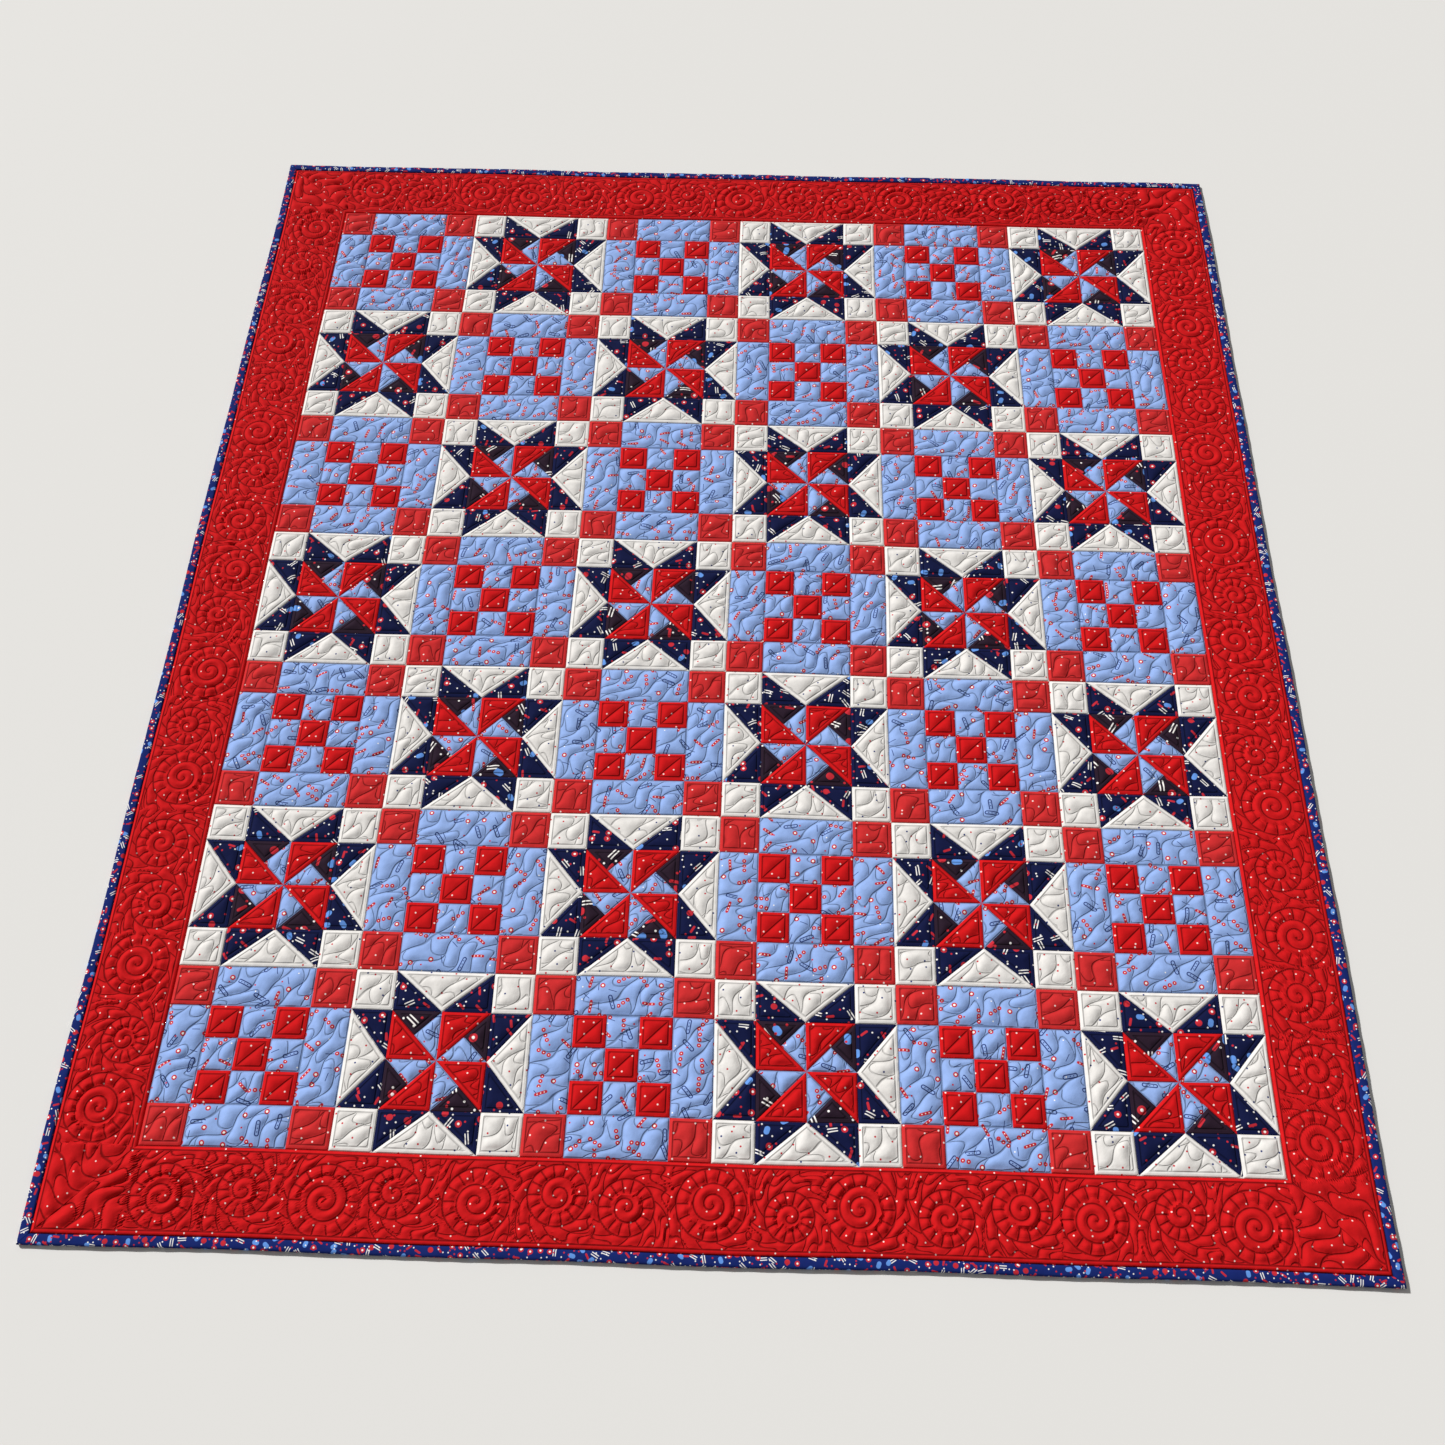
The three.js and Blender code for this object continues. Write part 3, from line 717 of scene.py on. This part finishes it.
def cotton(name, ground, marks_on, rim=0, painted_crease_shade=1, lines=(), margin=0, unfolded=False):
    """Woven quilting cotton, printed and sewn: a matte cloth with a faint weave.

    marks_on(tree, place) gives the print's marks. lines names the attributes of the stitching that
    crosses the patch, which the shader turns into narrow creases, bumped down and darkened by painted
    shade: distance = |angle| * reach. They stop at a line that follows the seams at the margin, and rim
    is how much paler the cloth is painted between that line and the seam, a painted highlight where it
    rolls over. The crease shade is what the painted shade in a crease leaves of the cloth's brightness,
    and the seams' ditches are darkened by painted shade too. An unfolded cloth's print lies along its
    cloth attribute.
    """
    material = bpy.data.materials.new(name)
    material.use_nodes = True
    tree = material.node_tree
    tree.nodes.clear()
    if unfolded:
        place = add(tree, "ShaderNodeAttribute", attribute_name="cloth")["Vector"]
    else:
        place = add(tree, "ShaderNodeTexCoord")["Object"]
    cloth = printed(tree, ground, marks_on(tree, place))

    # Thicker and thinner yarn makes the cloth a little cloudy.
    slub = add(
        tree,
        "ShaderNodeTexNoise",
        {"Vector": place, "Scale": 1 / SLUB_SIZE, "Detail": 3.0},
        noise_dimensions="2D",
    )[0]
    cloudy = {"Value": slub, FROM_LOW: SLUB_RANGE[0], FROM_HIGH: SLUB_RANGE[1]}
    cloudy |= {TO_LOW: SLUB_SHADES[0], TO_HIGH: SLUB_SHADES[1]}
    shade = add(tree, "ShaderNodeMapRange", cloudy)[0]
    height = add(tree, "ShaderNodeMath", {0: slub, 1: SLUB_HEIGHT}, operation="MULTIPLY")[0]

    if lines:
        seam = add(tree, "ShaderNodeAttribute", attribute_name="seam")["Fac"]
        edge = margin / MM
        beyond = add(tree, "ShaderNodeMath", {0: edge, 1: seam}, operation="SUBTRACT")[0]
        nearest = add(tree, "ShaderNodeMath", {0: beyond}, operation="ABSOLUTE")[0]
        for key in lines:
            vector = add(tree, "ShaderNodeAttribute", attribute_name=key)["Vector"]
            x, y, reach = add(tree, "ShaderNodeSeparateXYZ", {0: vector})
            angle = add(tree, "ShaderNodeMath", {0: y, 1: x}, operation="ARCTAN2")[0]
            turn = add(tree, "ShaderNodeMath", {0: angle}, operation="ABSOLUTE")[0]
            off = add(tree, "ShaderNodeMath", {0: turn, 1: reach}, operation="MULTIPLY")[0]
            off = add(tree, "ShaderNodeMath", {0: off, 1: beyond}, operation="MAXIMUM")[0]
            nearest = add(tree, "ShaderNodeMath", {0: nearest, 1: off}, operation="MINIMUM")[0]
        line = {"Value": nearest, FROM_LOW: 0.0, FROM_HIGH: CREASE_HALF, TO_LOW: 0.0, TO_HIGH: 1.0}
        crease = add(tree, "ShaderNodeMapRange", line, interpolation_type="SMOOTHSTEP")[0]
        ditch = {"Value": seam, FROM_LOW: 0.0, FROM_HIGH: DITCH_HALF, TO_LOW: 0.0, TO_HIGH: 1.0}
        valley = add(tree, "ShaderNodeMapRange", ditch, interpolation_type="SMOOTHSTEP")[0]
        drawn = add(tree, "ShaderNodeMath", {0: crease, 1: valley}, operation="MULTIPLY")[0]
        deeper = {0: drawn, 1: CREASE_DEPTH, 2: height}
        height = add(tree, "ShaderNodeMath", deeper, operation="MULTIPLY_ADD")[0]
        # Painted shade: the cloth's colour is darkened along each crease, down to the crease shade.
        dark = add(tree, "ShaderNodeMapRange", {"Value": crease, TO_LOW: painted_crease_shade, TO_HIGH: 1.0})[0]
        # Painted shade: the cloth's colour is darkened in the seam's ditch.
        dull = add(tree, "ShaderNodeMapRange", {"Value": valley, TO_LOW: DITCH_PAINTED_SHADE, TO_HIGH: 1.0})[0]
        # Painted highlight: the rim between the margin's line and the seam is painted paler, as where it
        # rolls over into the light.
        rim_highlight_limits = {"Value": seam, FROM_LOW: RIM_HIGHLIGHT_RANGE[0] * edge, FROM_HIGH: RIM_HIGHLIGHT_RANGE[1] * edge}
        rim_highlight_limits |= {TO_LOW: 1 + rim, TO_HIGH: 1.0}
        pale = add(tree, "ShaderNodeMapRange", rim_highlight_limits)[0]
        for factor in (dark, dull, pale):
            shade = add(tree, "ShaderNodeMath", {0: shade, 1: factor}, operation="MULTIPLY")[0]

    tone = add(tree, "ShaderNodeVectorMath", {0: cloth, "Scale": shade}, operation="SCALE")[0]
    threads = add(
        tree,
        "ShaderNodeTexVoronoi",
        {"Vector": place, "Scale": 1 / THREAD_SPACING, "Randomness": THREAD_JITTER},
        voronoi_dimensions="2D",
        distance="CHEBYCHEV",
    )["Distance"]
    woven = {0: threads, 1: -THREAD_HEIGHT, 2: height}
    height = add(tree, "ShaderNodeMath", woven, operation="MULTIPLY_ADD")[0]
    bump = add(tree, "ShaderNodeBump", {"Height": height, "Strength": 1.0, "Distance": MM})[0]
    surface = {
        "Base Color": tone,
        "Normal": bump,
        "Roughness": COTTON_ROUGHNESS,
        "Specular IOR Level": COTTON_SPECULAR,
    }
    shader = add(tree, "ShaderNodeBsdfPrincipled", surface)[0]
    add(tree, "ShaderNodeOutputMaterial", {"Surface": shader})
    return material


def pin_dots(spacing, radius, inks, shift):
    """A print of small round dots: inks are (colour, share) pairs of the dots, by chance."""

    def marks_on(tree, place):
        _, heart, pick = scattered(tree, place, spacing, shift)
        return [(inked(tree, heart, radius, pick, share), ink) for ink, share in inks]

    return marks_on


def blue_print(colours):
    """A light blue print's marks: ringed dots, rows of beads, banded sticks and slender loops.

    A mark's row gives its shape, half its line's width in millimetres, its places, its share of
    them, and its ink.
    """
    spacing, small_spacing, small_shift = 30 * MM, 21 * MM, 0.37
    bead_step, band_step, stick_half, loop_half, loop_width, sweep_half = 8.5, 5.5, 8.0, 8.5, 2.6, 6.0
    ringed, beaded, banded, looped = (0.0, 0.27), (0.27, 0.54), (0.54, 0.76), (0.76, 1.0)

    def marks_on(tree, place):
        local, heart, pick = scattered(tree, place, spacing, 0.0)
        beads = from_beads(tree, local, bead_step)
        bands = from_beads(tree, local, band_step)
        stick = from_bar(tree, local, stick_half)
        loop = from_outline(tree, from_bar(tree, local, loop_half), loop_width)
        small, speck, small_pick = scattered(tree, place, small_spacing, small_shift)
        sweep = from_bar(tree, small, sweep_half)
        rows = [
            (sweep, 0.55, small_pick, (0.0, 0.22), colours.print_navy),
            (loop, 0.85, pick, looped, colours.print_navy),
            (bands, 0.9, pick, looped, colours.print_navy),
            (heart, 4.1, pick, ringed, colours.print_red),
            (heart, 1.9, pick, ringed, colours.print_white),
            (beads, 3.3, pick, beaded, colours.print_red),
            (beads, 0.9, pick, beaded, colours.print_white),
            (stick, 2.3, pick, banded, colours.print_red),
            (bands, 0.9, pick, banded, colours.print_white),
            (speck, 1.4, small_pick, (0.78, 0.92), colours.print_red),
            (speck, 1.1, small_pick, (0.92, 1.0), colours.print_white),
        ]
        return [(inked(tree, *mark), ink) for *mark, ink in rows]

    return marks_on


def navy_print(colours, spacing, shift, boldness=1, specks=0.4):
    """A dark print's marks, sized by their spacing: red blots and bars, light blue ovals, white
    threads, and between them white specks, on that share of the places for specks, and red ones.

    A mark's row gives its shape, half its line's width as a share of the size, its places, its
    share of them, and its ink.
    """
    size = boldness * spacing / MM
    small_spacing, small_shift = 0.5 * spacing, shift + 0.21
    oval_half, bar_half, thread_half, thread_gap = 0.09 * size, 0.17 * size, 0.26 * size, 0.08 * size

    def marks_on(tree, place):
        large, blot, pick = scattered(tree, place, spacing, shift)
        oval = from_bar(tree, large, oval_half)
        bar = from_bar(tree, large, bar_half)
        thread = from_bar(tree, large, thread_half, bars=2, apart=thread_gap)
        _, speck, small_pick = scattered(tree, place, small_spacing, small_shift)
        rows = [
            (oval, 0.155, pick, (0.0, 0.15), colours.print_sky),
            (blot, 0.19, pick, (0.15, 0.48), colours.print_red),
            (blot, 0.07, pick, (0.15, 0.36), colours.print_white),
            (bar, 0.07, pick, (0.48, 0.72), colours.print_red),
            (thread, 0.03, pick, (0.72, 0.94), colours.print_white),
            (speck, 0.05, small_pick, (0.0, specks), colours.print_white),
            (speck, 0.06, small_pick, (0.75, 0.97), colours.print_red),
        ]
        return [(inked(tree, shape, half * size, *where), ink) for shape, half, *where, ink in rows]

    return marks_on


def no_marks(tree, place):
    """A plain cloth has no print."""
    return []


def row_cottons(colours, padding):
    """The fabrics of the pieced rows, in the order of their slots.

    The pin dots are small and even, so pale and red patches look plain from a step away. The blue
    and dark prints are busier, and the darker one is larger in scale. The muslin is undyed.
    """
    lines = ["long_lines", "cross_lines"]
    echo, ditch = padding.echo, padding.ditch
    blush, red, navy = colours.print_blush, colours.print_red, colours.print_navy
    pale_dots = pin_dots(24 * MM, 1.5, [(red, (0, 0.68)), (navy, (0.68, 1))], shift=0.1)
    red_dots = pin_dots(23 * MM, 1.35, [(blush, (0, 0.9))], shift=0.3)
    dull_dots = pin_dots(23 * MM, 1.35, [(blush, (0, 0.85))], shift=0.5)
    blue_marks = blue_print(colours)
    dark_marks = navy_print(colours, 27 * MM, shift=0.0)
    night_marks = navy_print(colours, 36 * MM, shift=0.7, specks=0.25)
    # Each cotton's name, ground, print, rim (its painted highlight), crease shade (its painted shade in the
    # creases) and margin.
    rows = [
        ("cream_pin_dot_cotton", colours.cream, pale_dots, 0.14, 0.74, echo),
        ("red_pin_dot_cotton", colours.red, red_dots, 0.14, 0.48, echo),
        ("muted_red_pin_dot_cotton", colours.muted_red, dull_dots, 0.1, 0.52, echo),
        ("light_blue_print_cotton", colours.blue, blue_marks, 0, 0.62, ditch),
        ("navy_print_cotton", colours.navy, dark_marks, 0.1, 0.6, echo),
        ("night_print_cotton", colours.night, night_marks, 0.1, 0.6, echo),
    ]
    printed_cottons = [
        cotton(name, ground, marks, rim, painted_crease_shade, lines, margin)
        for name, ground, marks, rim, painted_crease_shade, margin in rows
    ]
    return [*printed_cottons, cotton("backing_muslin", colours.muslin, no_marks)]


class QUILT_OT_rows(bpy.types.Operator):
    """Sew the star and chain blocks into rows"""

    bl_idname = "quilt.rows"
    bl_label = "Pieced rows"

    def execute(self, context):
        padding, colours = context.scene.quilt_padding, context.scene.quilt_colours
        cottons = row_cottons(colours, padding)
        for row in range(ROWS):
            pieced_row(row, padding, cottons)
        return {"FINISHED"}


class QUILT_OT_bindings(bpy.types.Operator):
    """Fold the four lengths of binding round the quilt's edge"""

    bl_idname = "quilt.bindings"
    bl_label = "Bindings"

    def execute(self, context):
        padding, colours = context.scene.quilt_padding, context.scene.quilt_colours
        # A small, crowded print on a brighter blue sets the edge off from the red border.
        marks = navy_print(colours, 14 * MM, shift=0.4, boldness=1.45, specks=0.22)
        blue = cotton("binding_print_cotton", colours.binding_blue, marks, unfolded=True)
        for side, turn, seam_length, away in SIDES:
            binding_roll(side, turn, seam_length, away, padding, blue)
        return {"FINISHED"}


class QUILT_OT_borders(bpy.types.Operator):
    """Sew on the four mitred borders, inside their bindings"""

    bl_idname = "quilt.borders"
    bl_label = "Borders"

    def execute(self, context):
        padding, colours = context.scene.quilt_padding, context.scene.quilt_colours
        lines = ["long_lines", "cross_lines", "ribs"]
        # Small sparse dots leave the border a plain red that shows its quilting as light and shade.
        dots = pin_dots(26 * MM, 1.15, [(colours.print_blush, (0, 0.85))], shift=0.2)
        echo = padding.echo
        # Its rim gets a painted highlight of 0.12, and its creases keep 0.4 of the colour's brightness as
        # painted shade.
        red = cotton("border_red_pin_dot_cotton", colours.border_red, dots, 0.12, 0.4, lines, echo)
        muslin = cotton("border_backing_muslin", colours.muslin, no_marks)
        for side, turn, seam_length, away in SIDES:
            border_strip(side, turn, seam_length, away, padding, [red, muslin])
        return {"FINISHED"}


class QUILT_OT_stage(bpy.types.Operator):
    """Add the floor, the light and the camera"""

    bl_idname = "quilt.stage"
    bl_label = "Stage"

    def execute(self, context):
        scene = context.scene
        corners = [(x * FLOOR_HALF, y * FLOOR_HALF, -FLOOR_DROP) for x, y in FLOOR_CORNERS]
        mesh = bpy.data.meshes.new("floor")
        mesh.from_pydata(corners, [], [(0, 1, 2, 3)])
        floor = bpy.data.objects.new("floor", mesh)
        scene.collection.objects.link(floor)
        # Matte paint: pale and even, so that the quilt's shadow is all it shows.
        paint = bpy.data.materials.new("matte_floor_paint")
        paint.use_nodes = True
        shader = paint.node_tree.nodes["Principled BSDF"]
        shader.inputs["Base Color"].default_value = (*scene.quilt_colours.floor, 1)
        shader.inputs["Roughness"].default_value = FLOOR_ROUGHNESS
        mesh.materials.append(paint)

        world = bpy.data.worlds.new("soft_daylight")
        world.use_nodes = True
        tree = world.node_tree
        tree.nodes.clear()
        # The sky lights the quilt as a dim fill, and looks as pale as the floor behind it.
        seen = add(tree, "ShaderNodeLightPath")["Is Camera Ray"]
        strength = add(tree, "ShaderNodeMapRange", {"Value": seen, TO_LOW: SKY_FILL, TO_HIGH: SKY_SEEN})[0]
        sky = add(tree, "ShaderNodeBackground", {"Color": (1, 1, 1, 1), "Strength": strength})[0]
        add(tree, "ShaderNodeOutputWorld", {"Surface": sky})
        scene.world = world

        key = bpy.data.lights.new("key", "SUN")
        key.energy = SUN_STRENGTH
        key.angle = SUN_ANGLE
        lamp = bpy.data.objects.new("key", key)
        lamp.rotation_euler = SUN_WAY.to_track_quat("-Z", "Y").to_euler()
        scene.collection.objects.link(lamp)

        lens = bpy.data.cameras.new("camera")
        lens.sensor_width = CAMERA_SENSOR
        lens.lens = CAMERA_LENS
        camera = bpy.data.objects.new("camera", lens)
        camera.location = CAMERA_PLACE
        camera.rotation_euler = CAMERA_WAY.to_track_quat("-Z", "Y").to_euler()
        scene.collection.objects.link(camera)
        scene.camera = camera
        scene.view_settings.view_transform = "Standard"
        return {"FINISHED"}


class QUILT_PT_panel(bpy.types.Panel):
    """The quilt's steps, sizes and colours"""

    bl_idname = "QUILT_PT_panel"
    bl_label = "Star quilt"
    bl_space_type = "VIEW_3D"
    bl_region_type = "UI"
    bl_category = "Quilt"

    def draw(self, context):
        for operator in OPERATORS:
            self.layout.operator(operator.bl_idname)
        for group in (context.scene.quilt_padding, context.scene.quilt_colours):
            for name in group.__annotations__:
                self.layout.prop(group, name)


OPERATORS = (QUILT_OT_rows, QUILT_OT_bindings, QUILT_OT_borders, QUILT_OT_stage)
CLASSES = (QuiltPadding, QuiltColours, *OPERATORS, QUILT_PT_panel)


def register():
    """Registers the classes and hangs the properties on the scene."""
    for cls in CLASSES:
        bpy.utils.register_class(cls)
    bpy.types.Scene.quilt_padding = PointerProperty(type=QuiltPadding)
    bpy.types.Scene.quilt_colours = PointerProperty(type=QuiltColours)


def unregister():
    """Undoes register."""
    del bpy.types.Scene.quilt_colours
    del bpy.types.Scene.quilt_padding
    for cls in reversed(CLASSES):
        bpy.utils.unregister_class(cls)


def main():
    register()
    bpy.ops.quilt.rows()
    bpy.ops.quilt.bindings()
    bpy.ops.quilt.borders()
    bpy.ops.quilt.stage()


if __name__ == "__main__":
    main()
